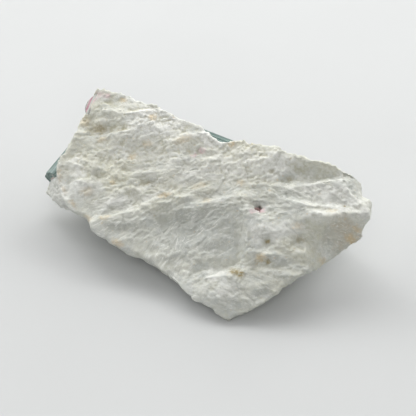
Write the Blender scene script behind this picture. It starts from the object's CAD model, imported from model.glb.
import math
from itertools import product

import bmesh
import bpy
import numpy as np
from mathutils import Matrix, Vector, noise
from mathutils.bvhtree import BVHTree


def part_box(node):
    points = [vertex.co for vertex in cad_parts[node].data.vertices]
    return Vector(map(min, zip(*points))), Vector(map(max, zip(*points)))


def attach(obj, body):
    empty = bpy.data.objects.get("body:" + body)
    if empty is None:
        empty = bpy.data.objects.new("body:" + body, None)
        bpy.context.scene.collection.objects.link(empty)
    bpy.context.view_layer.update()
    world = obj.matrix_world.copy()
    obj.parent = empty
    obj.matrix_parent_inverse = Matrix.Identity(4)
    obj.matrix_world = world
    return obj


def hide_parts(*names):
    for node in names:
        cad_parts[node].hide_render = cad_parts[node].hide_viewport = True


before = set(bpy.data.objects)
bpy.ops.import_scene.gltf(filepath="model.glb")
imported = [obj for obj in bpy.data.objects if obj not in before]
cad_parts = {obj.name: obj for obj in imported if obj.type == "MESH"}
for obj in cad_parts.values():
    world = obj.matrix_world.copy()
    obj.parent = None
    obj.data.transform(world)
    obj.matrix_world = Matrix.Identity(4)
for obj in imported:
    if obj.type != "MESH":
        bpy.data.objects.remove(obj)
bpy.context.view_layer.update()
print("frame loaded")

mm = 0.001
mmPerMetre = 1000.0

# How the specimen lies. Its shapes are set out on the tipped slab, in millimetres: u to the right and
# v up along the broad white face, w out of it, from the low tip of the face.
slab = {"pitch": 29.0, "roll": 10.5, "tip": (7.4, -41.7, 2.3)}
slabTurn = (Matrix.Rotation(math.radians(slab["pitch"]), 4, "X")
            @ Matrix.Rotation(math.radians(-slab["roll"]), 4, "Y"))
slabToRow = Matrix.Scale(mm, 4) @ Matrix.Translation(slab["tip"]) @ slabTurn
rowToSlab = slabToRow.inverted()


def moved(points, matrix):
    m = np.array(matrix)
    return points @ m[:3, :3].T + m[:3, 3]


def readPoints(mesh, field="co"):
    flat = np.empty(len(mesh.vertices) * 3)
    mesh.vertices.foreach_get(field, flat)
    return flat.reshape(-1, 3)


def writePoints(mesh, points):
    mesh.vertices.foreach_set("co", points.reshape(-1))
    mesh.update()


def smoothStep(low, high, value):
    share = np.clip((value - low) / (high - low), 0.0, 1.0)
    return share * share * (3.0 - 2.0 * share)


def addObject(name, data):
    added = bpy.data.objects.new(name, data)
    bpy.context.scene.collection.objects.link(added)
    return added


def meshFrom(bm, name):
    mesh = bpy.data.meshes.new(name)
    bm.to_mesh(mesh)
    bm.free()
    return mesh


def settled(piece):
    # the piece's mesh with its modifiers applied
    bpy.context.view_layer.update()
    shown = piece.evaluated_get(bpy.context.evaluated_depsgraph_get())
    mesh = bpy.data.meshes.new_from_object(shown)
    piece.modifiers.clear()
    old = piece.data
    piece.data = mesh
    bpy.data.meshes.remove(old)
    return mesh


def mergedCopy(nodeName, name):
    # a CAD node's mesh, merged and laid out in slab millimetres
    bm = bmesh.new()
    bm.from_mesh(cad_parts[nodeName].data)
    bmesh.ops.remove_doubles(bm, verts=bm.verts, dist=1e-6)
    bmesh.ops.transform(bm, matrix=rowToSlab, verts=bm.verts)
    return meshFrom(bm, name)


def setAttribute(mesh, name, values, kind="FLOAT"):
    layer = mesh.attributes.new(name, kind, "POINT")
    field = "value" if kind == "FLOAT" else "vector"
    layer.data.foreach_set(field, values.astype(np.float32).reshape(-1))


# Nodes of a material, joined up by short calls.
def newMaterial(name):
    material = bpy.data.materials.new(name)
    material.use_nodes = True
    tree = material.node_tree
    return material, tree, tree.nodes["Principled BSDF"]


def plug(tree, node, inputs):
    # inputs by name or number, each a socket to link or a value; None leaves one as it is
    for key, value in inputs.items():
        if isinstance(value, bpy.types.NodeSocket):
            tree.links.new(value, node.inputs[key])
        elif value is not None:
            node.inputs[key].default_value = value


def addNode(tree, kind, inputs, output=0):
    node = tree.nodes.new("ShaderNode" + kind)
    plug(tree, node, inputs)
    return node.outputs[output]


def objectSpace(tree):
    return addNode(tree, "TexCoord", {}, "Object")


def mapped(tree, vector, scale, place=None, turn=None, kind="POINT"):
    node = tree.nodes.new("ShaderNodeMapping")
    node.vector_type = kind
    plug(tree, node, {"Vector": vector, "Scale": scale, "Location": place, "Rotation": turn})
    return node.outputs["Vector"]


def patternSpace(tree, place=None):
    # Object coordinates in millimetres
    return mapped(tree, objectSpace(tree), (mmPerMetre, mmPerMetre, mmPerMetre), place)


def noiseNode(tree, space, size, detail=2.0, rough=0.5):
    inputs = {"Vector": space, "Scale": 1.0 / size, "Detail": detail, "Roughness": rough}
    return addNode(tree, "TexNoise", inputs, "Fac")


def cellNode(tree, space, size, output="Color"):
    return addNode(tree, "TexVoronoi", {"Vector": space, "Scale": 1.0 / size}, output)


def mathNode(tree, operation, first, second=None, clamp=False):
    node = tree.nodes.new("ShaderNodeMath")
    node.operation = operation
    node.use_clamp = clamp
    plug(tree, node, {0: first, 1: second})
    return node.outputs[0]


def plus(tree, first, second, clamp=False):
    return mathNode(tree, "ADD", first, second, clamp)


def minus(tree, first, second, clamp=False):
    return mathNode(tree, "SUBTRACT", first, second, clamp)


def times(tree, first, *others):
    for other in others:
        first = mathNode(tree, "MULTIPLY", first, other)
    return first


def rangeNode(tree, value, fromLow, fromHigh, toLow=0.0, toHigh=1.0):
    node = tree.nodes.new("ShaderNodeMapRange")
    node.interpolation_type = "SMOOTHSTEP"
    plug(tree, node, {"Value": value, "From Min": fromLow, "From Max": fromHigh,
                      "To Min": toLow, "To Max": toHigh})
    return node.outputs["Result"]


def pattern(tree, space, size, detail, rough, low, high, toLow=0.0, toHigh=1.0):
    # smooth noise that starts at one level and is full at another
    return rangeNode(tree, noiseNode(tree, space, size, detail, rough), low, high, toLow, toHigh)


def mixNode(tree, share, first, second):
    node = tree.nodes.new("ShaderNodeMix")
    node.data_type = "RGBA"
    plug(tree, node, {0: share, 6: first, 7: second})  # 6 and 7 are its two colours
    return node.outputs[2]


def mixValue(tree, share, first, second):
    return addNode(tree, "Mix", {0: share, 2: first, 3: second})  # 2 and 3 are its two plain numbers


def attributeNode(tree, name, output="Fac"):
    node = tree.nodes.new("ShaderNodeAttribute")
    node.attribute_name = name
    return node.outputs[output]


def bumpNode(tree, height, strength, distance, under=None):
    # distance is in millimetres
    inputs = {"Height": height, "Strength": strength, "Distance": distance * mm, "Normal": under}
    return addNode(tree, "Bump", inputs, "Normal")


def rgba(look, name):
    return (*look[name], 1.0)


# The camera stands where the photograph was taken from. Lengths are in millimetres.
view = {"lens": 100.0, "sensor": 36.0, "aim": (1.9, -10.4, 16.0), "distance": 335.11, "elevation": 38.0}


def addCamera():
    data = bpy.data.cameras.new("camera")
    data.lens, data.sensor_width = view["lens"], view["sensor"]
    data.clip_start, data.clip_end = 0.01, 20.0
    camera = addObject("camera", data)
    rise = math.radians(view["elevation"])
    back = Vector((0.0, -math.cos(rise), math.sin(rise)))
    camera.location = (Vector(view["aim"]) + back * view["distance"]) * mm
    camera.rotation_euler = back.to_track_quat("Z", "Y").to_euler()
    bpy.context.scene.camera = camera


addCamera()

# Floor and soft studio light: wide panels behind the stone, softer ones in front, above and at the sides.
studio = {
    "floorSize": 12.0, "floor": (0.608, 0.618, 0.614), "floorShade": 0.985,
    "floorClouds": (60.0, 2.0, 0.5, 0.3, 0.7),  # size in millimetres, detail, roughness, start and full
    "sky": (1.0, 1.0, 1.0), "skyStrength": 0.02,
    "lamps": {  # place and size in metres, and power
        "backPanel": ((0.0, 0.95, 0.62), (1.9, 0.75), 7.0),
        "backHighPanel": ((0.0, 0.75, 0.95), (1.2, 0.5), 5.4),
        "backLeftPanel": ((-0.7, 0.75, 0.60), (0.6, 0.6), 4.2),
        "backRightPanel": ((0.7, 0.75, 0.60), (0.6, 0.6), 4.8),
        "frontPanel": ((0.0, -0.80, 0.80), (0.9, 0.9), 4.5),
        "topPanel": ((0.0, 0.10, 1.10), (0.7, 0.7), 1.4),
        "leftPanel": ((-1.0, 0.10, 0.55), (0.7, 0.7), 2.9),
        "rightPanel": ((1.0, 0.10, 0.55), (0.7, 0.7), 2.3),
    },
}


def addLamp(name, place, size, power):
    data = bpy.data.lights.new(name, "AREA")
    data.shape = "RECTANGLE"
    data.size, data.size_y = size
    data.energy = power
    lamp = addObject(name, data)
    lamp.location = place
    lamp.rotation_euler = Vector(place).to_track_quat("Z", "Y").to_euler()  # towards the middle of the floor


def addStudio():
    bm = bmesh.new()
    bmesh.ops.create_grid(bm, x_segments=1, y_segments=1, size=studio["floorSize"] / 2)
    floor = addObject("floor", meshFrom(bm, "floor"))
    material, tree, shader = newMaterial("palePaper")
    shade = pattern(tree, patternSpace(tree), *studio["floorClouds"])
    darker = (*(studio["floorShade"] * c for c in studio["floor"]), 1.0)
    plug(tree, shader, {"Base Color": mixNode(tree, shade, rgba(studio, "floor"), darker),
                        "Roughness": 0.85, "Specular IOR Level": 0.2})
    floor.data.materials.append(material)
    world = bpy.data.worlds.new("studio")
    bpy.context.scene.world = world
    world.use_nodes = True
    backdrop = world.node_tree.nodes["Background"]
    plug(world.node_tree, backdrop, {"Color": rgba(studio, "sky"), "Strength": studio["skyStrength"]})
    for name, settings in studio["lamps"].items():
        addLamp(name, *settings)
    bpy.context.scene.view_settings.view_transform = "Standard"


addStudio()
print("camera and studio ready")

# Patterns that the broken stone is made from: smooth noise and cells, for many points at once.
def hashed(cells, seed):
    # three even random numbers for each whole-numbered cell
    whole = cells.astype(np.int64)
    base = (whole * (73856093, 19349663, 83492791)).T
    base = base[0] ^ base[1] ^ base[2] ^ (seed * 26544357)
    numbers = []
    for turn in (1, 2, 3):
        mix = (base + turn * 40503123) & 0xFFFFFFFF
        for _ in range(2):
            mix = ((mix ^ (mix >> 16)) * 0x45D9F3B) & 0xFFFFFFFF
        numbers.append(((mix ^ (mix >> 16)) & 0xFFFFFF) / 0x1000000)
    return np.stack(numbers, 1)


def softNoise(spots, seed):
    base = np.floor(spots)
    part = spots - base
    fade = part * part * part * (part * (part * 6.0 - 15.0) + 10.0)
    total = np.zeros(len(spots))
    for corner in product((0, 1), repeat=3):
        weight = np.where(corner, fade, 1.0 - fade).prod(1)
        lean = hashed(base + corner, seed) * 2.0 - 1.0
        total += weight * (lean * (part - corner)).sum(1)
    return 1.7 * total


def layeredNoise(spots, seed, layers=3, rough=0.5):
    return sum(rough ** k * softNoise(spots * 2.1 ** k + 7.3 * k, seed + k) for k in range(layers))


def wobbled(points, size, reach, seed=3):
    # points moved about, so that nothing laid out on them stays straight
    return points + reach * np.stack([softNoise(points / size, seed + k) for k in range(3)], 1)


def nearestCell(spots, seed):
    # the way from the nearest cell's middle, that cell, and how near its border is
    base = np.floor(spots)
    best, second = np.full(len(spots), 9.0), np.full(len(spots), 9.0)
    off, cell = np.zeros_like(spots), base.copy()
    for step in product((-1, 0, 1), repeat=3):
        here = base + step
        way = spots - here - hashed(here, seed)
        away = (way * way).sum(1)
        closer = away < best
        second = np.where(closer, best, np.minimum(second, away))
        best = np.where(closer, away, best)
        off[closer], cell[closer] = way[closer], here[closer]
    return off, cell, np.sqrt(second) - np.sqrt(best)


def leaningCells(spots, seed, lean, step=0.0):
    # height of flat cells that lean at random and stand at slightly different levels
    off, cell, _ = nearestCell(spots, seed)
    traits = hashed(cell, seed + 1)
    return lean * ((traits * 2.0 - 1.0) * off).sum(1) + step * (hashed(cell, seed + 2)[:, 0] - 0.5)


# The white rock. Its base is the CAD solid, refined, and given the grains, flakes, fibres, ledges and
# pits of a broken face. Lengths are in millimetres.
rock = {
    "voxel": 0.28,
    "smoothing": 5,
    "triangles": 196000,
    "facing": (0.35, 0.75), "depth": (-9.0, -5.0),  # the face begins and is full: its normal's w, and w
    "foot": (0.2, 1.6), "rest": 0.25,  # heights over the floor: the roughness begins and is full; flat below
    "gapReach": 0.9, "gapOverlap": 0.12,  # closes the clearance round the crystals
    "crystalReach": 2.0, "calmNear": 1.4,  # crystals are looked for this near, and calm the rock
    "lumps": {"size": 3.2, "height": 0.14},
    "grains": {"size": 5.5, "lean": 0.045, "step": 0.05, "spread": 34.0},  # spread turns their fibres
    # share is how much of a layer there is, in plain stone and added in fibrous stone
    "flakes": {"length": 3.4, "width": 1.2, "lean": 0.14, "step": 0.08, "share": (0.3, 0.7)},
    "chips": {"length": 1.7, "width": 1.3, "height": 0.15, "share": (1.35, -1.0)},
    "crumbs": {"size": 1.5, "height": 0.44, "share": (1.0, -0.9)},
    "shingles": {"length": 6.0, "width": 1.6, "height": 0.16, "stray": 0.9, "riser": 0.14,
                 "share": (0.05, 0.95)},  # cleavage steps, risers downhill
    "fibres": {"length": 4.0, "width": 0.5, "height": 0.12, "sharp": 2.2, "share": (0.05, 0.95)},
    "patches": {"size": 4.5, "calm": 0.45},  # smooth patches between the rough ones
    "ledges": {"unevenSize": 2.4, "runOut": 1.2, "front": 0.5},  # runOut past their ends, front is steep
    "strokeGain": 0.52,
    "sideGain": 1.2,  # the hidden sides are rougher than the face
}

# The way the fibres run on the face: u, v, the angle from u, and how fibrous the stone is there.
fibreZones = (
    (-38, 70, -8, 0.2), (-28, 66, -8, 0.2), (-40, 60, -12, 0.2), (-30, 58, -12, 0.2), (-42, 51, -32, 0.4),
    (-34, 46, -30, 0.3), (-20, 60, -10, 0.2), (-8, 58, 12, 0.2), (0, 51, 15, 0.2), (-18, 50, 10, 0.3),
    (-22, 42, 25, 0.6), (-34, 38, 24, 0.9), (-20, 36, 22, 1), (-8, 38, 16, 0.9), (4, 44, 10, 0.3),
    (12, 48, -5, 0.1), (24, 44, -30, 0.2), (34, 40, -40, 0.3), (-30, 29, 8, 0.9), (-14, 31, 20, 1),
    (-2, 30, 12, 0.9), (-20, 25, 60, 0.8), (-12, 22, 75, 0.8), (-2, 22, 30, 0.7), (6, 24, 80, 0.3),
    (12, 26, -20, 0.4), (16, 34, -28, 0.9), (26, 34, -25, 0.8), (32, 30, -20, 0.5), (33, 23, -38, 0.8),
    (22, 18, -25, 0.5), (-8, 14, 40, 0.5), (0, 14, 5, 0.3), (12, 13, -25, 0.5), (22, 13, -30, 0.5),
    (-8, 8, -45, 0.7), (4, 7, -15, 0.6), (14, 8, -28, 0.6), (-28, 24, 40, 0.6),
)
fibreReach = 5.0

# Strokes of relief on the face: start, end, half width and height. A ledge is steep on the right of its
# line, looking from start to end, and runs out on its left over its width.
ledges = (
    (-23, 64.6, -32, 65.6, 2.6, 0.4), (-31, 60.2, -36, 61.4, 1.8, 0.25), (-33, 57.4, -45, 59, 2.4, 0.35),
    (-36, 53.4, -46, 55.4, 2, 0.3), (-37, 49.8, -48, 53.4, 1.8, 0.35), (-34, 46.6, -45, 51.6, 1.5, 0.3),
    (-40, 44.2, -48, 47.2, 1.8, 0.3), (-27, 41.2, -36, 41, 2.2, 0.4), (-20.5, 43, -25, 41, 1.6, 0.5),
    (-28, 37.2, -42, 33.4, 2.6, 0.35), (-16, 38.4, -28, 34.8, 2.2, 0.4), (-6, 38.8, -16, 36, 2, 0.45),
    (-12, 33.6, -22, 32.2, 1.6, 0.5), (-22, 31.6, -34, 29.4, 2, 0.5), (-4, 34.6, -12, 32.6, 1.5, 0.5),
    (4, 33.6, -4, 32.6, 1.4, 0.4), (5, 30.6, -6, 29.4, 1.6, 0.45), (-8, 28.6, -17, 28, 1.6, 0.35),
    (-6, 59.8, -15, 57.6, 1.6, 0.45), (-1, 54.8, -8, 57, 1.4, 0.35), (-3, 51.6, -9, 50.6, 1.5, 0.4),
    (-8, 49.8, -15, 49.6, 1.6, 0.45), (8, 51, 2, 50.6, 1.3, 0.35), (14, 48.4, 9, 47.8, 1.4, 0.35),
    (2, 46.6, -6, 46, 1.8, 0.3), (-10, 45, -19, 44.6, 1.9, 0.3), (21.5, 31.2, 13.5, 35.4, 1.5, 0.45),
    (24.5, 33.6, 16, 37.4, 1.5, 0.3), (31.5, 33, 22, 36.2, 1.7, 0.25), (34, 29.8, 24, 32, 1.5, 0.45),
    (19, 28.4, 11, 31, 1.4, 0.3), (27, 27.2, 18, 30.4, 1.5, 0.35), (30, 26.6, 23, 28.8, 1.3, 0.4),
    (30, 15.4, 22, 18.6, 1.5, 0.35), (24, 19.6, 16, 21.6, 1.4, 0.3), (21, 13.6, 9, 17, 1.8, 0.5),
    (22, 10.6, 12, 12.4, 1.6, 0.35), (16, 7.4, 5, 9.4, 1.5, 0.4), (11, 4.8, 3, 5.6, 1.3, 0.35),
    (-2, 7.6, -8, 9.6, 1.3, 0.35), (-5, 11.6, -11, 13, 1.5, 0.35), (6, 15.6, -1, 16.6, 1.5, 0.45),
    (-7, 17.4, -14, 16.4, 1.7, 0.35), (-15, 20.6, -23, 19.8, 1.8, 0.35), (-23, 25.2, -32, 24.6, 1.9, 0.3),
)
ridges = (
    (-45, 47.5, -37, 44.5, 0.5, 0.16), (-46, 50.2, -38, 47.6, 0.4, 0.15), (-44, 53.6, -37, 50.2, 0.4, 0.16),
    (-41, 37, -30, 40.4, 0.6, 0.16), (-36, 35.4, -24, 39.4, 0.5, 0.16), (-26, 35.6, -14, 39.4, 0.6, 0.18),
    (-16, 34.4, -7, 37, 0.5, 0.16), (-8, 34.8, 4, 37.4, 0.6, 0.18), (-21, 27.8, -17.5, 22.6, 0.6, 0.3),
    (-16.5, 26.4, -14.5, 21.6, 0.5, 0.26), (-12.5, 25, -11, 20.6, 0.5, 0.22), (-9, 23.6, -8.2, 18.6, 0.6, 0.22),
    (-4.6, 21.6, -4, 17.4, 0.6, 0.22), (0.6, 20.8, 1.4, 17.2, 0.7, 0.25), (-7.5, 9.4, -1.5, 4.2, 0.5, 0.25),
    (-10, 10.4, -4, 4.6, 0.5, 0.2), (-2.8, 9, 2, 5.2, 0.5, 0.2), (8, 27.2, 14, 28.6, 0.7, 0.2),
    (9, 24.4, 16, 25, 0.7, 0.2), (12, 12, 20, 9.6, 0.5, 0.16), (30.5, 38.6, 36, 33.6, 0.6, 0.35),
    (28, 24.8, 37, 21.2, 0.5, 0.12), (27, 22.6, 36, 19.6, 0.5, 0.12), (-52.5, 44.5, -48, 38.4, 0.5, 0.15),
    (-2, 14.6, 3.6, 15, 1.2, 0.35), (-5, 12.8, -1.6, 12.4, 1, 0.3), (-30, 68.2, -24, 66.8, 1.6, 0.2),
)
pits = (
    (-41, 63.4, -37, 62.2, 1.1, 0.75), (-36, 61, -33.8, 60.6, 0.6, 0.5), (-32.4, 60.8, -30.8, 60.2, 0.5, 0.5),
    (-44, 65.6, -41.5, 65.8, 0.5, 0.35), (-45, 62.6, -42.6, 62.8, 0.5, 0.35), (-25.2, 41.8, -22, 43, 0.7, 0.6),
    (-31, 43, -29, 42.4, 0.8, 0.4), (-34.6, 44, -33, 43.4, 0.7, 0.35), (-12.8, 32.6, -10.8, 33.4, 0.6, 0.5),
    (-15.4, 52.6, -14.6, 50.8, 0.7, 0.4), (-5.6, 52.4, -4.6, 52, 0.6, 0.45), (-10, 50, -7.4, 50.2, 0.6, 0.4),
    (-13, 58.8, -9.6, 58.8, 0.8, 0.45), (10.8, 48.6, 12.2, 48.2, 0.6, 0.4), (6, 51.8, 7.2, 51.6, 0.5, 0.35),
    (22, 44, 24, 43.2, 0.7, 0.5), (17.6, 42, 19, 41.6, 0.6, 0.4), (25.4, 41.6, 26.6, 41, 0.5, 0.4),
    (13, 43.6, 14.2, 43.2, 0.5, 0.35), (20.2, 41.2, 21, 40.8, 0.4, 0.35), (11.2, 21.6, 11.8, 20.8, 0.45, 0.6),
    (20, 21.4, 22.4, 21.8, 0.55, 0.6), (28.2, 17.8, 29.4, 17.6, 0.45, 0.6), (25.2, 15.4, 26.6, 15.8, 0.45, 0.4),
    (20.2, 18.8, 21, 18.6, 0.5, 0.4), (10.8, 15.4, 11.8, 15.2, 0.45, 0.6), (1.2, 12.8, 2.2, 12.4, 0.5, 0.35),
    (3.4, 12.2, 4.4, 11.6, 0.5, 0.35), (-7.4, 13.8, -6.8, 13.2, 0.4, 0.5), (33.2, 30.8, 33.5, 30.2, 0.35, 0.4),
    (33.8, 37.4, 35.4, 36, 0.6, 0.35), (7.4, 32.4, 10, 31, 0.9, 0.55), (4.6, 29.6, 5, 26, 0.7, 0.45),
    (-3, 22.6, 3.4, 23.4, 1.5, 0.35), (8, 6.4, 10.6, 5.8, 0.4, 0.35), (-38.4, 51.6, -37.6, 51.2, 0.5, 0.35),
    (-51.6, 50, -51.2, 45, 0.7, 0.4), (-50.8, 44.4, -48.2, 40.4, 0.7, 0.4),
    (-47.8, 39.8, -44.4, 35.6, 0.6, 0.35),
)


# Broad swells of the face: u, v, half length, half width, angle and height.
swells = (
    (-5, 27, 9, 5, 8, 1.7), (-4, 14.2, 8, 2.8, 5, -2.1), (-14.5, 13.5, 7, 3, -40, -0.6),
    (-4, 23, 8, 2.4, 5, 0.6), (0, 15.6, 6, 2, 0, -1), (0, 22.5, 6, 2, 0, 0.5), (-14, 17.5, 4, 2, 0, -0.6),
    (-8.5, 9.5, 3, 2.6, -40, -0.8), (27, 38.8, 9, 2.6, 0, -1.7), (27, 34.4, 7, 1.8, 0, 0.5),
    (29.5, 26.8, 8.5, 2, -2, 2), (-33, 64.6, 5, 1.7, -8, -1), (-33, 68.4, 5, 1.4, -6, 0.6),
    (-38.5, 66.4, 3, 1.6, 0, -0.4), (-39, 60.2, 4, 1.3, -5, -0.8), (-38, 62.8, 4, 1.5, -8, 0.9),
    (-43, 50.6, 3.5, 2.6, -10, -0.5), (-43, 56.6, 4, 1.6, 0, 0.4), (-10, 42.6, 6, 2.4, 5, 0.5),
    (8.5, 46.4, 4, 2.2, -5, 0.6), (9, 50.6, 4, 1.6, -10, -0.6), (13, 42.6, 5, 2.4, -10, 0.8),
    (-7, 52.4, 5, 1.9, -10, 0.9), (-16, 55.6, 4, 2, -10, -0.5), (-26, 56.4, 6, 2.6, -10, 0.7),
    (-24, 64.6, 5, 2.2, -10, -0.8), (-36, 35.6, 6, 2, 15, 0.6), (-20, 36.8, 5, 1.8, 18, 0.4),
    (-1, 7.4, 2.6, 2, 20, 0.7), (14, 38.4, 5, 1.6, -15, 0.8), (14, 34.4, 5, 1.6, -15, -0.7),
    (-9, 39, 5, 1.6, 10, 0.4), (-11, 34.8, 6, 1.6, 10, -0.5), (-31, 28, 4.6, 1.6, 0, -0.6),
    (13, 16.4, 6, 1.5, -12, 0.6), (13.5, 13.2, 6, 1.5, -12, -0.6), (-7.6, 11.4, 2.6, 2, 0, -0.4),
    (20, 17.4, 3.5, 1.6, -15, 0.7), (20, 12.2, 3, 1.6, -25, -0.7), (24, 40.6, 5, 1.6, -15, -0.7),
    (23, 44.8, 7, 1.8, -20, 1), (9, 8.8, 4, 1.4, 15, 0.4), (8.5, 5.2, 4, 1.3, 15, -0.35),
    (-5, 45.4, 4, 1.8, 0, 0.3), (18, 40, 1.9, 1.6, 0, -0.3), (-30, 50, 6, 2.4, -15, 0.3),
    (20.5, 19.8, 2.5, 1.6, -10, -0.3), (-52, 41, 3, 4, 60, 0.3), (-20, 58.5, 8, 3.5, -25, 0.8),
)
# Where the stone is smoother: start, end, half width and the share of the roughness that is gone.
calmed = (
    (-46, 36, -8, 4, 4.5, 0.7), (-12, 63, 0, 57, 2.6, 0.7), (28, 22, 38, 23, 5, 0.2),
    (-34, 67.5, -26, 66, 2.6, 0.5), (-45, 57.5, -41, 56.5, 2.4, 0.6), (8, 27, 13, 24, 3, 0.4),
    (-48, 45.5, -44, 44, 2.5, 0.4), (-3, 22, 3, 22, 3, 0.4), (-40, 71, -24, 70.5, 2, 0.4),
)


def acrossLine(u, v, line):
    # distance to the left of a stroke's line, and how far past its ends
    along = np.array((line[2] - line[0], line[3] - line[1]), float)
    length = np.hypot(*along)
    share = ((u - line[0]) * along[0] + (v - line[1]) * along[1]) / length ** 2
    left = (along[0] * (v - line[1]) - along[1] * (u - line[0])) / length
    return left, np.maximum(0.0, np.maximum(-share, share - 1.0)) * length


def bell(distance, width):
    return np.exp(-np.minimum((distance / width) ** 2, 30.0))


def strokeAt(u, v, line):
    left, past = acrossLine(u, v, line)
    return line[5] * bell(np.hypot(left, past), line[4])


def awayFrom(u, v, oval):
    # distance from the middle of a turned oval, as a share of its half length and half width
    middleU, middleV, long, wide, angle = oval[:5]
    cos, sin = math.cos(math.radians(angle)), math.sin(math.radians(angle))
    du, dv = u - middleU, v - middleV
    return np.hypot((du * cos + dv * sin) / long, (dv * cos - du * sin) / wide)


def strokeHeight(u, v):
    height, form = np.zeros(len(u)), rock["ledges"]
    spots = np.stack([u / form["unevenSize"], v / form["unevenSize"], 0.0 * u], 1)
    uneven = np.clip(0.9 + 1.1 * layeredNoise(spots, 35, 2), 0.15, 1.5)
    for line in ledges:
        left, past = acrossLine(u, v, line)
        wide = np.where(left > 0.0, line[4], form["front"])
        height += line[5] * uneven * bell(past, form["runOut"]) * bell(left, wide)
    for line in ridges:
        height += strokeAt(u, v, line)
    for line in pits:
        height -= strokeAt(u, v, line)
    return height


def swellHeight(u, v):
    height = np.zeros(len(u))
    for swell in swells:
        height += swell[5] * bell(awayFrom(u, v, swell), 1.0)
    return height


def roughShare(points):
    # how rough the stone is: smooth patches at random, and the zones that are calm
    patches = rock["patches"]
    rough = 1.0 - patches["calm"] * smoothStep(0.05, 0.45, layeredNoise(points / patches["size"], 81, 2))
    for line in calmed:
        rough *= 1.0 - strokeAt(points[:, 0], points[:, 1], line)
    return rough


def fibresAt(u, v):
    # angle of the fibres, in radians, and how fibrous the stone is
    cos2, sin2, fibrous, total = (np.zeros(len(u)) for _ in range(4))
    for zoneU, zoneV, angle, share in fibreZones:
        weight = np.exp(-((u - zoneU) ** 2 + (v - zoneV) ** 2) / (2 * fibreReach ** 2)) + 1e-9
        cos2 += weight * math.cos(2 * math.radians(angle))
        sin2 += weight * math.sin(2 * math.radians(angle))
        fibrous += weight * share
        total += weight
    return np.arctan2(sin2, cos2) / 2, fibrous / total


def grainFrame(points):
    # the grain that a point is in, and the point's place along and across the fibres of that grain
    size = rock["grains"]["size"]
    loose = wobbled(wobbled(points, 5.0, 0.7), 1.2, 0.12, 8)
    off, cell, _ = nearestCell(loose / size, 11)
    traits = hashed(cell, 12)
    middle = loose - off * size
    angle, fibrous = fibresAt(middle[:, 0], middle[:, 1])
    angle += np.radians(rock["grains"]["spread"]) * (traits[:, 0] - 0.5)
    cos, sin = np.cos(angle), np.sin(angle)
    u, v, w = loose.T
    laid = np.stack([u * cos + v * sin, v * cos - u * sin, w], 1)
    return off, cell, traits, laid, np.clip(fibrous * (0.6 + 0.8 * traits[:, 1]), 0.0, 1.0)


def brokenHeight(points):
    # the stone's own roughness: grains of a few millimetres, each with its own run of flakes and fibres
    off, cell, traits, laid, fibrous = grainFrame(points)
    lumps, grains, flakes, chips, crumbs, shingles, fibres = (
        rock[name] for name in ("lumps", "grains", "flakes", "chips", "crumbs", "shingles", "fibres"))

    def spots(layer):
        return laid / (layer["length"], layer["width"], layer["width"])

    def share(layer):
        return layer["share"][0] + layer["share"][1] * fibrous

    height = lumps["height"] * layeredNoise(points / lumps["size"], 21)
    lean = hashed(cell, 13) * 2.0 - 1.0
    height += grains["size"] * grains["lean"] * (lean * off).sum(1) + grains["step"] * (traits[:, 2] - 0.5)
    height += flakes["width"] * leaningCells(spots(flakes), 31, flakes["lean"], flakes["step"]) * share(flakes)
    height += chips["height"] * layeredNoise(spots(chips), 42, 3, 0.65) * share(chips)
    _, cell, border = nearestCell(wobbled(points, 1.1, 0.35, 44) / crumbs["size"], 46)
    rounded = smoothStep(0.0, 0.6, border) * (0.3 + hashed(cell, 47)[:, 0]) - 0.4
    height += crumbs["height"] * rounded * share(crumbs)
    step, riser = spots(shingles), shingles["riser"]
    level = step[:, 1] + 0.6 * step[:, 2] + shingles["stray"] * layeredNoise(step * (1.0, 0.7, 0.7), 55, 2)
    saw = level - np.floor(level)
    slope = np.minimum(saw / riser, (1.0 - saw) / (1.0 - riser)) - 0.5
    height += shingles["height"] * slope * share(shingles)
    rounded = 0.4 - np.abs(softNoise(spots(fibres), 51))
    return height + fibres["height"] * rounded * fibres["sharp"] * share(fibres)


# Where the rock leans out further than the CAD solid: place, reach and shift.
leans = (
    ((-50, 55.5, -2.5), 6, (-1.25, 0.15, 0)), ((-41.2, 71.5, -0.4), 2.6, (-1.1, 0.45, 0)),
    ((-47.5, 59.5, -3), 3.5, (-0.65, 0.1, 0)), ((-6, 57, -3), 4, (0, 0.15, 0)),
    ((36.5, 38.5, -3), 3.5, (0.5, 0.9, 0)), ((0, 3, -1), 8, (0.12, -0.3, 0.7)),
)


def nearCrystals(points):
    # distance to the nearest crystal, its nearest spot, and the way that it faces there
    away, reach = np.full(len(points), 9.0), rock["crystalReach"]
    spots, facings = np.zeros_like(points), np.zeros_like(points)
    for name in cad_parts:
        if name == "feldspar_matrix":
            continue
        mesh = mergedCopy(name, "neighbour")
        tree = BVHTree.FromPolygons([v.co for v in mesh.vertices], [p.vertices for p in mesh.polygons])
        near = readPoints(mesh)
        bpy.data.meshes.remove(mesh)
        close = ((points > near.min(0) - reach) & (points < near.max(0) + reach)).all(1)
        for index in np.where(close)[0]:
            found, facing, _, distance = tree.find_nearest(Vector(points[index]), reach)
            if found is not None and distance < away[index]:
                away[index], spots[index], facings[index] = distance, found, facing
    return away, spots, facings


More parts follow.
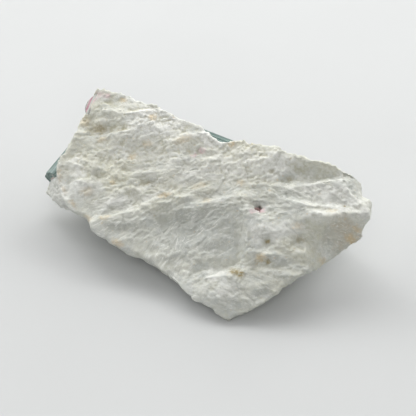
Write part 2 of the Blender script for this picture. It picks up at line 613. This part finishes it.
def buildRock():
    piece = addObject("white_rock", mergedCopy("feldspar_matrix", "whiteRock"))
    remesh = piece.modifiers.new("fine mesh", "REMESH")
    remesh.mode = "VOXEL"
    remesh.voxel_size = rock["voxel"]
    soften = piece.modifiers.new("soften facets", "SMOOTH")
    soften.factor, soften.iterations = 0.5, rock["smoothing"]
    mesh = settled(piece)
    print("rock refined:", len(mesh.vertices), "points")
    points, normals = readPoints(mesh), readPoints(mesh, "normal")
    onFace = smoothStep(*rock["facing"], normals[:, 2]) * smoothStep(*rock["depth"], points[:, 2])
    loose = wobbled(wobbled(points, 3.2, 1.3), 0.9, 0.45, 5)
    strokes = rock["strokeGain"] * strokeHeight(loose[:, 0], loose[:, 1]) * onFace
    loose = wobbled(points, 5.0, 0.8, 9)
    strokes += swellHeight(loose[:, 0], loose[:, 1]) * onFace
    gain = rock["sideGain"] + (1.0 - rock["sideGain"]) * onFace
    broken = brokenHeight(points) * roughShare(points) * gain
    above = moved(points, slabToRow)[:, 2] / mm
    for place, reach, shift in leans:
        share = bell(np.linalg.norm(points - place, axis=1), reach)
        points = points + share[:, None] * np.array(shift)
    away, spots, facings = nearCrystals(points)
    free = smoothStep(*rock["foot"], above) * (0.25 + 0.75 * smoothStep(0.3, rock["calmNear"], away))
    shaped = points + normals * (broken * free)[:, None]
    shaped[:, 2] += strokes * free
    # rock that faces a crystal across its clearance is drawn over to it
    reach = rock["gapReach"] * (1.0 + 0.35 * softNoise(points / 1.5, 61))
    across = (away < reach) & (((points - spots) * facings).sum(1) > 0.0) & ((normals * facings).sum(1) < 0.3)
    shaped[across] = (spots - rock["gapOverlap"] * facings)[across]
    shaped = moved(shaped, slabToRow)
    shaped[:, 2] = np.where(above < rock["rest"], 0.0, shaped[:, 2])
    low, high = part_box("feldspar_matrix")
    writePoints(mesh, np.clip(shaped, low, high))
    thin = piece.modifiers.new("fewer triangles", "DECIMATE")
    thin.ratio = min(1.0, rock["triangles"] / (2.0 * len(mesh.polygons)))
    mesh = settled(piece)
    mesh.shade_smooth()
    print("rock shaped:", sum(len(p.vertices) - 2 for p in mesh.polygons), "triangles")
    return piece


# Colour of the rock: tinted patches and stained spots on the face, as u, v, half length, half width,
# angle and strength.
tints = {
    "cream": (
        (-42, 68, 9, 9, 0, 0.8), (-30, 60, 12, 12, 0, 0.7), (-44, 54, 9, 9, 0, 0.6), (-30, 46, 12, 12, 0, 0.8),
        (-16, 55, 13, 10, -25, 0.6), (-8, 44, 12, 10, 0, 0.5), (-38, 35, 10, 6, -20, 0.5),
        (6, 50, 10, 6, -20, 0.8), (-20, 40, 10, 8, 0, 0.6), (10, 38, 8, 6, 0, 0.5), (24, 44, 10, 4, -20, 0.5),
        (-24, 22, 12, 4, -35, 0.4), (22, 17, 8, 4, -30, 0.6), (16, 9, 9, 4, -25, 0.5), (31, 29, 8, 3, 0, 0.6),
        (24, 24, 5, 4, 0, 0.6),
    ),
    "bright": (
        (31, 33, 9, 7, -15, 1), (28, 37, 8, 3, -10, 1), (28, 27.6, 7, 2.2, 0, 0.9), (14, 23.6, 8, 3, 0, 0.8),
        (14, 44.5, 8, 3, -15, 1), (-33, 36.4, 7, 3, 15, 0.9), (0, 43.4, 6, 3, 0, 0.8),
        (-28, 68, 6, 3, -15, 0.4), (9, 47, 10, 4, -15, 0.9), (-14, 60, 10, 4, -30, 0.7),
        (-3, 12.8, 4.5, 2.8, 0, 1), (8, 24, 2.8, 6, 0, 0.8), (-43, 42, 6, 4, -20, 1),
        (-29, 38.4, 5, 2, 20, 0.8), (-12, 47.5, 5, 3, 0, 0.8), (-8, 44.5, 10, 4, 5, 0.8),
        (-27, 60, 10, 5, -10, 0.8), (-30, 53, 7, 3.4, -10, 0.9), (-5, 53.5, 6, 2.4, -10, 0.7),
        (28, 18.5, 3, 2.4, -20, 0.5), (-52, 43, 4, 9, 20, 1.2), (19, 45.5, 6, 2, -22, 0.8),
        (-18, 60.4, 8, 5, -25, 1), (-39, 72.2, 3, 1.6, 0, 0.9), (38.6, 28.6, 2.6, 2, 0, 1),
        (12.5, 12.2, 4, 1.2, -25, 0.5), (0, 7, 4, 3, 30, 0.8), (-20, 38.6, 8, 1.6, 15, 0.6),
        (-36, 38, 8, 2, 20, 0.5), (-22, 55, 26, 11, -25, 0.65), (6, 46, 20, 7, -18, 0.65),
        (-6, 56, 9, 3, -25, 1.3), (-22, 61, 12, 5, -25, 1.3), (-46, 50, 4, 4, -20, 0.9),
        (25, 40.6, 8, 3, -25, 0.9), (-24, 43, 5, 4, 0, 0.8), (9.4, 23, 2.4, 2, 0, 1), (20, 24.6, 3, 2, 0, 0.9),
        (27, 19, 3, 2, -20, 0.8), (-28, 71, 7, 2, -20, 0.8), (-18, 64, 6, 2.6, -35, 1), (-4, 56, 6, 2, -25, 1),
        (18, 46, 7, 2, -25, 1),
    ),
    "grey": (
        (-7, 27, 15, 10, 8, 0.9), (-16, 33, 8, 4, 12, 0.6), (-23, 25, 5, 7, 30, 0.4), (4, 33, 5, 4, 0, 0.5),
        (11, 36, 8, 3, -10, 0.8), (13, 31, 5, 2.2, -10, 0.6), (26, 41.6, 8, 2, -22, 0.4),
        (35.6, 38.2, 3.5, 3, -50, 1.2), (-40.5, 54.4, 3, 2, -10, 0.6), (-37, 59.6, 6, 2, -10, 0.7),
        (-30, 64, 3, 1.6, 0, 0.6), (-38, 66.8, 5, 1.8, -10, 0.5), (-23.5, 42.4, 2.6, 1.8, 30, 0.8),
        (17.5, 41, 2.6, 2.2, 0, 0.8), (-12, 50.8, 5, 1.8, 5, 0.6), (-27, 58.5, 5, 2, 0, 0.4),
        (-3, 20.5, 8, 2.6, 5, 1), (-14, 20.5, 4, 3, 20, 0.9), (-31, 29.6, 5.5, 1.6, 5, 1),
        (16, 14.6, 9, 2, -16, 1), (-9, 11.8, 4, 2.4, -30, 0.7), (-36.5, 68.6, 4, 1.6, 0, 1.1),
        (-40, 59.8, 4.5, 1.6, -5, 1.1), (-10, 58.6, 3, 1.6, -20, 1.2), (-10, 49.6, 4, 1.6, 0, 1),
        (7, 28.6, 2.4, 2.4, 0, 0.9), (34.4, 38.4, 2.4, 1.4, -35, 1.2), (33, 29.6, 4, 1, 0, 0.7),
        (-20, 47.6, 3, 1.6, 0, 0.7), (-38, 34, 6, 3, -20, 0.5), (-25, 47, 5, 3, 0, 0.5),
        (0, 18.6, 6, 2, 0, 0.8), (-13, 22.6, 3, 3, 0, 1.6), (20, 20.8, 2.4, 1.8, 0, 0.6),
        (9, 32.8, 5, 4, 0, 1.1), (16, 35.2, 7, 3.4, -25, 1), (9, 11, 4, 2, 0, 0.9), (-7.3, 13, 2, 1.5, 0, 1.6),
        (16, 10.6, 7, 2, -28, 0.9), (3, 19.2, 10, 1.8, 2, 1.3), (18, 28.6, 4, 1.8, -15, 0.8),
        (0, 3.4, 6, 2.6, 20, 0.8), (9, 6.8, 5, 1.7, 25, 1),
        (11.5, 21.4, 2.4, 1.8, 0, 0.6), (2.4, 12, 2.4, 1.5, 0, 0.8), (-12, 31.4, 6, 2.4, 10, 0.9),
        (14, 28.6, 5, 2, -20, 0.4), (-43, 66, 2.6, 4, 0, 0.5), (-29, 42.5, 4, 2, 0, 0.4),
        (-4, 52.5, 3, 1.2, 0, 0.4), (-12, 58.8, 3, 1.2, 0, 0.35), (-32, 47, 4, 1.6, -20, 0.35),
    ),
    "tan": (
        (34, 23.5, 8, 4.5, -20, 1.2), (30, 22.5, 4, 3, -20, 0.6), (-40, 62, 4, 2.4, -10, 0.6),
    ),
    "ochre": (
        (36.4, 24.4, 1.6, 0.8, -20, 0.5), (-22.5, 63.6, 1.3, 1.3, 0, 0.7), (-18.5, 38.2, 2.4, 1, 10, 0.6),
        (-42, 32.5, 2.4, 1.4, -20, 0.4), (-6, 35.5, 1.6, 1.2, 0, 0.3), (27.6, 16.4, 2.4, 1.6, -20, 0.7),
        (34.5, 22.5, 2, 1.2, -20, 0.7), (-44, 65, 2.2, 2.2, 0, 0.4),
        (-38, 58, 2, 1.2, 0, 0.4), (-32, 71, 1.4, 0.9, -20, 0.6), (9.6, 16.4, 1.8, 1.2, 0, 0.6),
        (-34, 43.2, 1, 1, 0, 0.6), (-28.4, 51.4, 1.6, 1, 30, 0.5), (1.4, 53, 1.4, 1, 0, 0.6),
        (-32, 24, 2.4, 1.2, -35, 0.5), (4, 40.4, 1.6, 1.2, 0, 0.4), (-36, 32, 2, 1.2, 0, 0.4),
        (8, 53, 1.6, 1, 0, 0.4), (-51, 47.5, 0.8, 2.4, 5, 0.35), (-49.4, 42.6, 0.7, 2.2, 30, 0.3),
        (-46.2, 37.6, 0.8, 2, 40, 0.4), (-24, 55, 2, 1.2, 0, 0.35), (30, 29, 1.6, 1, 0, 0.3),
        (-13, 55.6, 3.5, 1.4, 10, 0.35), (20, 25, 2, 1.2, 0, 0.3), (-8, 40.5, 2.5, 1, 15, 0.3),
        (-42, 41, 2.5, 1.5, 0, 0.3),
    ),
    "olive": (
        (-39.2, 62, 2.4, 1.4, -10, 0.6), (2, 13, 1.7, 1.3, -20, 1),
        (3.6, 12, 1.4, 1.2, 0, 1), (0.6, 14.6, 0.6, 0.6, 0, 0.6), (11.6, 15.3, 0.8, 0.6, 0, 0.9),
        (11.5, 21.2, 0.9, 0.7, 0, 0.9), (20.6, 21.6, 1.3, 0.7, 0, 0.5), (33.4, 30.4, 0.5, 0.4, 0, 0.9),
        (-32.6, 60.4, 1.2, 0.7, 0, 0.35), (-23.6, 42.4, 1.2, 0.8, 30, 0.45), (18, 41, 1.4, 0.9, 0, 0.4),
        (-4.6, 51.8, 0.8, 0.6, 0, 0.3), (13, 43.4, 1.2, 0.7, 0, 0.3),
    ),
    "rosy": (
        (-37.2, 72.9, 1.4, 1, 0, 0.5), (-39.6, 73.6, 1.8, 1.2, 0, 0.4), (-7.5, 51.6, 1.4, 1, 0, 0.5),
        (-9.8, 50.4, 1.2, 0.9, 0, 0.45), (7.6, 30.4, 1.3, 1, 0, 0.45), (10, 30.8, 1.3, 1.2, 0, 0.6),
        (-43, 69, 0.8, 1.4, 0, 0.8), (-41.6, 72.4, 1, 2, -20, 0.9),
    ),
}


# Colours, patterns and layers of the stone. A pattern is its size in millimetres, detail and roughness,
# the levels where it starts and is full, and what these stand for where that isn't 0 and 1.
rockLook = {
    "white": (0.695, 0.700, 0.622), "cool": (0.635, 0.653, 0.612), "cream": (0.716, 0.694, 0.528),
    "tan": (0.590, 0.530, 0.415), "ochre": (0.679, 0.524, 0.288), "rosy": (0.679, 0.417, 0.470),
    "olive": (0.359, 0.291, 0.144), "grey": (0.478, 0.496, 0.461), "dirt": (0.565, 0.545, 0.400),
    "shade": (0.531, 0.540, 0.483), "bright": (0.865, 0.868, 0.820), "crest": (0.750, 0.750, 0.700),
    "clouds": (4.0, 4.0, 0.65, 0.40, 0.62), "ragged": (1.6, 4.0, 0.65, 0.3, 0.62, 0.45, 1.0),
    "stained": (1.5, 4.0, 0.7, 0.50, 0.64), "patchy": (2.6, 3.0, 0.6, 0.35, 0.6, 0.15, 1.0),
    "freckles": (1.1, 2.0, 0.5, 0.68, 0.76), "speckled": (0.6, 2.0, 0.5, 0.32, 0.56, 0.40, 1.0),
    "facing": (-0.3, 0.3), "depth": (-11.0, -7.0),  # where the tinted face begins and is full
    "wide": 2.5, "edge": (0.35, 1.25),  # wider patches are more ragged; all fade out over their edge
    # rounds of smoothing, and the depths in millimetres where hollows and crests start and are full
    "smoothed": {"fine": (6, 0.01, 0.08), "broad": (40, 0.03, 0.40)},
    # how strong the tinted patches, the hollows and the crests show
    "patches": {"cream": 0.85, "bright": 1.0, "grey": 0.85, "tan": 0.9},
    "hollows": {"broadHollow": 0.50, "fineHollow": 0.45}, "crests": 0.22, "freckled": 0.38,
    "dirty": {"plain": 0.50, "fibrous": 0.38, "bright": 0.45},  # the last two take away from it
    # layers over all the stone: colour, strength and pattern
    "layers": (("bright", 0.36, (0.8, 3.0, 0.65, 0.53, 0.66)), ("grey", 0.24, (0.75, 2.0, 0.6, 0.56, 0.70))),
    # layers along its fibres: colour, strength, how far they are drawn out, and pattern
    "strands": (("grey", 0.5, 0.16, (0.45, 2.0, 0.55, 0.30, 0.70)),
                ("crest", 0.4, 0.16, (0.8, 3.0, 0.6, 0.54, 0.66)),
                ("bright", 0.7, 0.07, (0.5, 2.0, 0.5, 0.55, 0.66))),
}


def paintRock(piece):
    mesh = piece.data
    row = readPoints(mesh)
    points = moved(row, rowToSlab)
    up = readPoints(mesh, "normal") @ np.array(slabToRow.to_3x3().normalized())
    onFace = smoothStep(*rockLook["facing"], up[:, 2]) * smoothStep(*rockLook["depth"], points[:, 2])
    spots = wobbled(points, 0.9, 0.5, 71)
    ragged = wobbled(wobbled(points, 5.0, 2.5, 75), 1.5, 0.8, 79)
    for name, patches in tints.items():
        amount = np.zeros(len(points))
        for patch in patches:
            at = ragged if patch[3] > rockLook["wide"] else spots
            away = awayFrom(at[:, 0], at[:, 1], patch)
            amount = np.maximum(amount, patch[5] * (1.0 - smoothStep(*rockLook["edge"], away)))
        setAttribute(mesh, name, amount * onFace)
    laid, fibrous = grainFrame(points)[3:]
    setAttribute(mesh, "rough", smoothStep(0.45, 0.95, roughShare(points)))
    setAttribute(mesh, "laid", laid, "FLOAT_VECTOR")
    setAttribute(mesh, "fibrous", fibrous)
    bm = bmesh.new()
    bm.from_mesh(mesh)
    normals = readPoints(mesh, "normal")
    # how deep each point lies under the smoothed stone, in millimetres
    axes = {"use_axis_x": True, "use_axis_y": True, "use_axis_z": True}
    for name, (rounds, low, high) in rockLook["smoothed"].items():
        for _ in range(rounds):
            bmesh.ops.smooth_vert(bm, verts=bm.verts, factor=0.6, **axes)
        depth = ((np.array([v.co for v in bm.verts]) - row) * normals).sum(1) / mm
        setAttribute(mesh, name + "Hollow", smoothStep(low, high, depth))
        if name == "fine":
            setAttribute(mesh, "fineCrest", smoothStep(low, high, -depth))
    bm.free()


def rockMaterial():
    material, tree, shader = newMaterial("whiteFeldspar")
    space, look = patternSpace(tree), rockLook
    laid = attributeNode(tree, "laid", "Vector")
    fibrous = attributeNode(tree, "fibrous")

    def drawn(name):
        return pattern(tree, space, *look[name])

    def layered(base, share, name):
        return mixNode(tree, share, base, rgba(look, name))

    def spread(name, gain, ragged):
        return times(tree, attributeNode(tree, name), ragged, gain)

    clouds = plus(tree, drawn("clouds"), minus(tree, 0.5, attributeNode(tree, "rough")), True)
    base = layered(rgba(look, "white"), clouds, "cool")
    ragged = drawn("ragged")
    for name, gain in look["patches"].items():
        base = layered(base, spread(name, gain, ragged), name)
    # dirt sits where the stone is neither fibrous nor bright
    dirty = look["dirty"]
    amount = minus(tree, dirty["plain"], times(tree, fibrous, dirty["fibrous"]))
    amount = minus(tree, amount, times(tree, attributeNode(tree, "bright"), dirty["bright"]), True)
    base = layered(base, times(tree, drawn("stained"), amount), "dirt")
    for name, gain, kind in look["layers"]:
        base = layered(base, times(tree, pattern(tree, space, *kind), gain), name)
    for name, gain, long, kind in look["strands"]:
        strands = pattern(tree, mapped(tree, laid, (long, 1.0, 1.0)), *kind)
        base = layered(base, times(tree, strands, times(tree, fibrous, gain)), name)
    creamy = minus(tree, plus(tree, attributeNode(tree, "cream"), 0.6), fibrous, True)
    hollow = mixNode(tree, creamy, rgba(look, "shade"), rgba(look, "dirt"))
    patchy = drawn("patchy")
    for name, gain in look["hollows"].items():
        base = mixNode(tree, spread(name, gain, patchy), base, hollow)
    base = layered(base, spread("fineCrest", look["crests"], ragged), "crest")
    base = layered(base, times(tree, drawn("freckles"), look["freckled"]), "ochre")
    speckled = drawn("speckled")
    for name in ("ochre", "olive", "rosy"):
        base = layered(base, spread(name, 1.0, speckled), name)
    sugar = bumpNode(tree, noiseNode(tree, space, 0.36, 3.0, 0.6), 0.55, 0.14)
    crumbs = bumpNode(tree, cellNode(tree, space, 0.6, "Distance"), 0.30, 0.14, sugar)
    streaks = mapped(tree, laid, (0.16, 1.0, 1.0))
    plug(tree, shader, {
        "Base Color": base, "Roughness": rangeNode(tree, cellNode(tree, space, 0.9), 0.0, 1.0, 0.45, 0.85),
        "Specular IOR Level": 0.4, "Subsurface Weight": 0.05, "Subsurface Radius": (1.0, 0.95, 0.85),
        "Subsurface Scale": 0.6 * mm,
        "Normal": bumpNode(tree, noiseNode(tree, streaks, 0.30, 3.0, 0.6), 0.30, 0.12, crumbs),
    })
    return material


whiteRock = buildRock()
paintRock(whiteRock)
whiteRock.data.materials.append(rockMaterial())
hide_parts("feldspar_matrix")
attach(whiteRock, "root")
print("white rock done")

# Crystals: where the axis starts and ends, and the radius, all in slab millimetres. The end at the start
# is broken, with its slant as tilt and turn; split cuts one lengthwise. core is the pink share of the
# radius. What a crystal names itself takes the place of what crystalLook says.
crystals = {
    "long_tourmaline": {
        "start": (-43.4, 75.1, -13.6), "end": (11.6, 46.7, -13.6), "radius": 6.8, "ridges": 15,
        "slant": (12, 60), "pointed": True, "core": 0.62},
    "corner_tourmaline": {
        "start": (-43.6, 67.4, -2.4), "end": (-41.1, 74.4, -2.3), "radius": 2.0, "ridges": 10,
        "slant": (10, 0), "pointed": False, "split": (-18, 1.3), "core": 0.22, "coreMiddle": (1.25, -0.75),
        "pink": (0.40, 0.14, 0.21), "skin": (0.27, 0.28, 0.25), "pale": (0.64, 0.65, 0.61),
        "pinch": 0.55, "film": 0.60, "filmSide": 0.22},
    "left_tourmaline": {
        "start": (-53.6, 47.8, -5.6), "end": (-45.7, 60.4, -8.4), "radius": 4.3, "ridges": 12,
        "slant": (0, 0), "pointed": True, "core": 0.42, "skin": (0.125, 0.210, 0.185),
        "pale": (0.35, 0.45, 0.41), "film": 0.60, "rough": (0.35, 0.60)},
    "slender_tourmaline": {
        "start": (15.6, 39.8, -18.4), "end": (32.0, 34.2, -12.6), "radius": 2.7, "ridges": 10,
        "slant": (15, 90), "pointed": True, "core": 0.45},
    "stub_tourmaline": {
        "start": (-16.0, 55.2, -26.0), "end": (-21.6, 45.4, -19.5), "radius": 3.0, "ridges": 10,
        "slant": (16, 180), "pointed": False, "core": 0.66},
}
crystalForm = {
    "bulge": 0.085, "wander": 0.07,  # the rounded triangle of the section, and its unevenness
    "flute": 0.016, "groove": 0.075, "grooveWidth": 0.42,  # broad ribs, and the fine grooves along them
    "pointSlope": 27.0, "ringStep": 2.2, "segment": 0.17, "capRings": 16, "hackle": 0.45,
    "sharpFrom": 32.0,  # edges sharper than this, in degrees, aren't smoothed
}
crystalLook = {
    "skin": (0.050, 0.118, 0.098), "pale": (0.19, 0.29, 0.25), "pink": (0.55, 0.16, 0.26),
    "lightPink": (0.70, 0.42, 0.47), "band": (0.66, 0.62, 0.54), "feldspar": (0.70, 0.69, 0.64),
    "rough": (0.16, 0.34), "coreMiddle": (0.0, 0.0), "pinch": 0.0,
    "film": 0.66, "filmSide": 0.0,  # the level from which feldspar sticks to it, and more of it to one side
    "triangle": 0.12, "wave": 0.16,  # how far the coloured zones follow the section, and their waviness
    "mottled": (1.6, 4.0, 0.65, 0.35, 0.7), "veined": (0.8, 4.0, 0.6, 0.42, 0.72),
    "worn": (1.1, 3.0, 0.5, 0.3, 0.7),
}


def crystalTurn(start, end):
    # Z along the axis, and X as near as can be to the slab's w
    along = (end - start).normalized()
    side = along.cross(Vector((0.0, 0.0, 1.0))).normalized()
    return Matrix((side.cross(along), side, along)).transposed().to_4x4()


def sectionSize(turn, crystal):
    radius, form = crystal["radius"], crystalForm
    place = Vector((math.cos(turn), math.sin(turn), 0.0))
    size = 1.0 + form["bulge"] * math.cos(3 * turn) + form["flute"] * math.cos(crystal["ridges"] * turn)
    size += form["wander"] * noise.noise(Vector((2.0 * place.x, 2.0 * place.y, radius)))
    groove = abs(noise.noise(place * radius / form["grooveWidth"] + Vector((0.0, 0.0, 3.1 * radius))))
    return radius * size - form["groove"] * (1.0 - 2.5 * min(groove, 0.4))


def vertsOf(edges):
    # each point of the edges once, always in the same order
    return list(dict.fromkeys(vert for edge in edges for vert in edge.verts))


def ringGrown(bm, edges, centre, scale=1.0, rise=0.0):
    # the next ring of a crystal's wall or cap
    made = bmesh.ops.extrude_edge_only(bm, edges=edges)["geom"]
    verts = [part for part in made if isinstance(part, bmesh.types.BMVert)]
    chosen = set(verts)
    bmesh.ops.scale(bm, verts=verts, vec=(scale, scale, scale), space=Matrix.Translation(-centre))
    bmesh.ops.translate(bm, verts=verts, vec=(0.0, 0.0, rise))
    return [part for part in made if isinstance(part, bmesh.types.BMEdge) and chosen.issuperset(part.verts)]


def placeOf(part):
    # the middle of a point, an edge or a face
    verts = [part] if isinstance(part, bmesh.types.BMVert) else part.verts
    return [round(sum(vert.co[axis] for vert in verts) / len(verts), 4) for axis in range(3)]


def putInOrder(bm):
    # the operators leave their parts in another order each run, so these are sorted by place
    for parts in (bm.verts, bm.edges, bm.faces):
        for index, part in enumerate(sorted(parts, key=placeOf)):
            part.index = index
        parts.sort()


def cutOpen(bm, place, normal):
    putInOrder(bm)
    parts = bm.verts[:] + bm.edges[:] + bm.faces[:]
    cut = bmesh.ops.bisect_plane(bm, geom=parts, plane_co=place, plane_no=normal, dist=1e-5, clear_outer=True)
    for edge in bm.edges:
        edge.tag = False
    for part in cut["geom_cut"]:
        part.tag = True
    putInOrder(bm)
    return [edge for edge in bm.edges if edge.tag]


def brokenCap(bm, edges):
    # rings towards the middle of an open end, roughened like a break across the crystal
    capVerts, size = vertsOf(edges), 1.0
    centre = sum((vert.co for vert in capVerts), Vector()) / len(capVerts)
    for ring in range(crystalForm["capRings"]):
        smaller = 1.0 - (ring + 1) / (crystalForm["capRings"] + 1)
        edges = ringGrown(bm, edges, centre, smaller / size)
        size = smaller
        capVerts += vertsOf(edges)
    bmesh.ops.pointmerge(bm, verts=vertsOf(edges), merge_co=centre)
    capVerts = [vert for vert in capVerts if vert.is_valid]
    spots = np.array([vert.co for vert in capVerts])
    flakes = leaningCells(wobbled(spots, 1.0, 0.3, 93) / 1.3, 95, 0.4, 0.15)
    height = 0.5 * layeredNoise(spots / 2.4, 91) + 0.9 * flakes
    for vert, high in zip(capVerts, height):
        vert.co.z += crystalForm["hackle"] * high


def planeNormal(tilt, turn):
    # tilted from straight up, towards a turn round the axis; both in radians
    return Vector((math.sin(tilt) * math.cos(turn), math.sin(tilt) * math.sin(turn), math.cos(tilt)))


def crystalBody(crystal):
    start, end = Vector(crystal["start"]), Vector(crystal["end"])
    length, radius = (end - start).length, crystal["radius"]
    bm = bmesh.new()
    steps = int(2 * math.pi * radius / crystalForm["segment"])
    for vert in bmesh.ops.create_circle(bm, segments=steps, radius=1.0)["verts"]:
        turn = math.atan2(vert.co.y, vert.co.x)
        size = sectionSize(turn, crystal)
        vert.co = (size * math.cos(turn), size * math.sin(turn), -radius)
    edges = bm.edges[:]
    rings = math.ceil((length + 2 * radius) / min(crystalForm["ringStep"], 0.3 * radius))
    for _ in range(rings):
        edges = ringGrown(bm, edges, Vector(), 1.0, (length + 2 * radius) / rings)
    for vert in bm.verts:
        # a little unevenness along the crystal; a pinched one thins towards its ends, away from the outside
        scale = 1.0 + 0.006 * noise.noise(Vector((radius, 0.0, 0.4 * vert.co.z)))
        thin = crystal.get("pinch", crystalLook["pinch"]) * min(1.0, abs(2.0 * vert.co.z / length - 1.0)) ** 2.5
        vert.co.x *= scale
        vert.co.y = vert.co.y * scale * (1.0 - thin) + radius * thin
    tilt, turn = (math.radians(angle) for angle in crystal["slant"])
    normal = planeNormal(tilt, turn)
    normal.z = -normal.z
    brokenCap(bm, cutOpen(bm, Vector(), normal))
    top = Vector((0.0, 0.0, length))
    if crystal["pointed"]:
        for turn in (60, 180, 300):
            normal = planeNormal(math.radians(crystalForm["pointSlope"]), math.radians(turn))
            bmesh.ops.edgenet_fill(bm, edges=cutOpen(bm, top, normal))
    else:
        brokenCap(bm, cutOpen(bm, top, Vector((0.0, 0.0, 1.0))))
    if "split" in crystal:
        turn = math.radians(crystal["split"][0])
        normal = Vector((math.cos(turn), math.sin(turn), 0.0))
        bmesh.ops.edgenet_fill(bm, edges=cutOpen(bm, normal * crystal["split"][1], normal))
    bmesh.ops.recalc_face_normals(bm, faces=bm.faces)
    return bm


def buildCrystal(name, crystal):
    bm = crystalBody(crystal)
    start, end = Vector(crystal["start"]), Vector(crystal["end"])
    lay = slabToRow @ Matrix.Translation(start) @ crystalTurn(start, end)
    bmesh.ops.transform(bm, matrix=lay, verts=bm.verts)
    mesh = meshFrom(bm, name)
    mesh.shade_smooth()
    mesh.set_sharp_from_angle(angle=math.radians(crystalForm["sharpFrom"]))
    piece = addObject(name.replace("_tourmaline", "_crystal"), mesh)
    mesh.materials.append(crystalMaterial(name, crystal))
    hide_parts(name)
    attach(piece, "root")


def zoneShare(tree, look, local, parts):
    # how far out a point lies, as a share of the radius, along the rounded triangle of the section
    x, y = (minus(tree, parts.outputs[k], look["coreMiddle"][k]) for k in (0, 1))
    radial = mathNode(tree, "SQRT", plus(tree, times(tree, x, x), times(tree, y, y)))
    cosine = mathNode(tree, "DIVIDE", x, mathNode(tree, "MAXIMUM", radial, 0.01))
    cos3 = minus(tree, times(tree, cosine, cosine, cosine, 4.0), times(tree, cosine, 3.0))
    form = plus(tree, times(tree, cos3, look["triangle"]), 1.0)
    share = mathNode(tree, "DIVIDE", mathNode(tree, "DIVIDE", radial, form), look["radius"])
    wavy = times(tree, minus(tree, noiseNode(tree, local, 1.3, 3.0), 0.5), look["wave"])
    return plus(tree, share, wavy)


def crystalMaterial(name, crystal):
    material, tree, shader = newMaterial(name + "Stone")
    look = {**crystalLook, **crystal}
    start, end = Vector(crystal["start"]), Vector(crystal["end"])
    lay = (slabTurn @ crystalTurn(start, end)).to_euler()
    # millimetres from the start of the axis
    local = mapped(tree, objectSpace(tree), (mm, mm, mm), slabToRow @ start, lay, "TEXTURE")
    streaks = mapped(tree, local, (1.0, 1.0, 0.06))
    parts = tree.nodes.new("ShaderNodeSeparateXYZ")
    plug(tree, parts, {0: local})
    share, edge = zoneShare(tree, look, local, parts), look["core"]
    colour = mixNode(tree, pattern(tree, local, *look["mottled"]), rgba(look, "pink"), rgba(look, "lightPink"))
    colour = mixNode(tree, rangeNode(tree, share, edge - 0.06, edge + 0.02), colour, rgba(look, "band"))
    skin = mixNode(tree, pattern(tree, streaks, *look["veined"]), rgba(look, "skin"), rgba(look, "pale"))
    colour = mixNode(tree, rangeNode(tree, share, edge + 0.02, edge + 0.12), colour, skin)
    # a thin film of feldspar still sticks to it here and there
    cover = noiseNode(tree, local, 2.3, 5.0, 0.7)
    if look["filmSide"]:
        cover = plus(tree, cover, times(tree, parts.outputs[1], look["filmSide"]))
    film = rangeNode(tree, cover, look["film"], look["film"] + 0.06)
    lines = bumpNode(tree, noiseNode(tree, streaks, 0.22, 3.0, 0.6), 0.35, 0.06)
    plug(tree, shader, {
        "Base Color": mixNode(tree, times(tree, film, 0.7), colour, rgba(look, "feldspar")),
        "Roughness": mixValue(tree, film, pattern(tree, streaks, *look["worn"], *look["rough"]), 0.7),
        "IOR": 1.63, "Transmission Weight": 0.15,
        "Normal": bumpNode(tree, noiseNode(tree, local, 0.5, 4.0, 0.65), 0.15, 0.08, lines),
    })
    return material


for name, crystal in crystals.items():
    buildCrystal(name, crystal)
print("crystals grown")

# The small pink grain in the middle of the face: dark on top, pink outside a ragged border.
grain = {
    "place": (8.6, 30.6, -0.55), "size": (2.05, 1.5, 1.4), "turn": -20.0,
    "dark": (0.12, 0.05, 0.04), "pink": (0.56, 0.37, 0.40),
    "rise": 1.1, "border": (2.7, 3.3), "ragged": 3.2,  # of the dark part: how high it lies, and its reach
}


def buildGrain():
    bm = bmesh.new()
    bmesh.ops.create_icosphere(bm, subdivisions=4, radius=1.0)
    for vert in bm.verts:
        vert.co *= 1.0 + 0.22 * noise.noise(vert.co * 1.7) + 0.12 * noise.noise(vert.co * 4.1)
    bmesh.ops.scale(bm, verts=bm.verts, vec=grain["size"])
    lay = Matrix.Translation(grain["place"]) @ Matrix.Rotation(math.radians(grain["turn"]), 4, "Z")
    bmesh.ops.transform(bm, matrix=slabToRow @ lay, verts=bm.verts)
    mesh = meshFrom(bm, "pinkGrain")
    mesh.shade_smooth()
    piece = addObject("pink_speck", mesh)
    material, tree, shader = newMaterial("pinkGrainStone")
    middle = slabToRow @ Vector(grain["place"]) + Vector((0.0, 0.0, grain["rise"] * mm))
    space = patternSpace(tree, -mmPerMetre * middle)
    away = tree.nodes.new("ShaderNodeVectorMath")
    away.operation = "LENGTH"
    plug(tree, away, {0: space})
    ragged = times(tree, noiseNode(tree, space, 0.7, 3.0, 0.6), grain["ragged"])
    outer = rangeNode(tree, plus(tree, away.outputs["Value"], ragged), *grain["border"])
    plug(tree, shader, {
        "Base Color": mixNode(tree, outer, rgba(grain, "dark"), rgba(grain, "pink")),
        "Roughness": pattern(tree, space, 0.5, 2.0, 0.5, 0.3, 0.7, 0.2, 0.5),
        "Normal": bumpNode(tree, noiseNode(tree, space, 0.4, 3.0), 0.5, 0.15),
    })
    mesh.materials.append(material)
    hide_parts("pink_grain")
    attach(piece, "root")


buildGrain()
print("pink grain done")

print("sizes written")
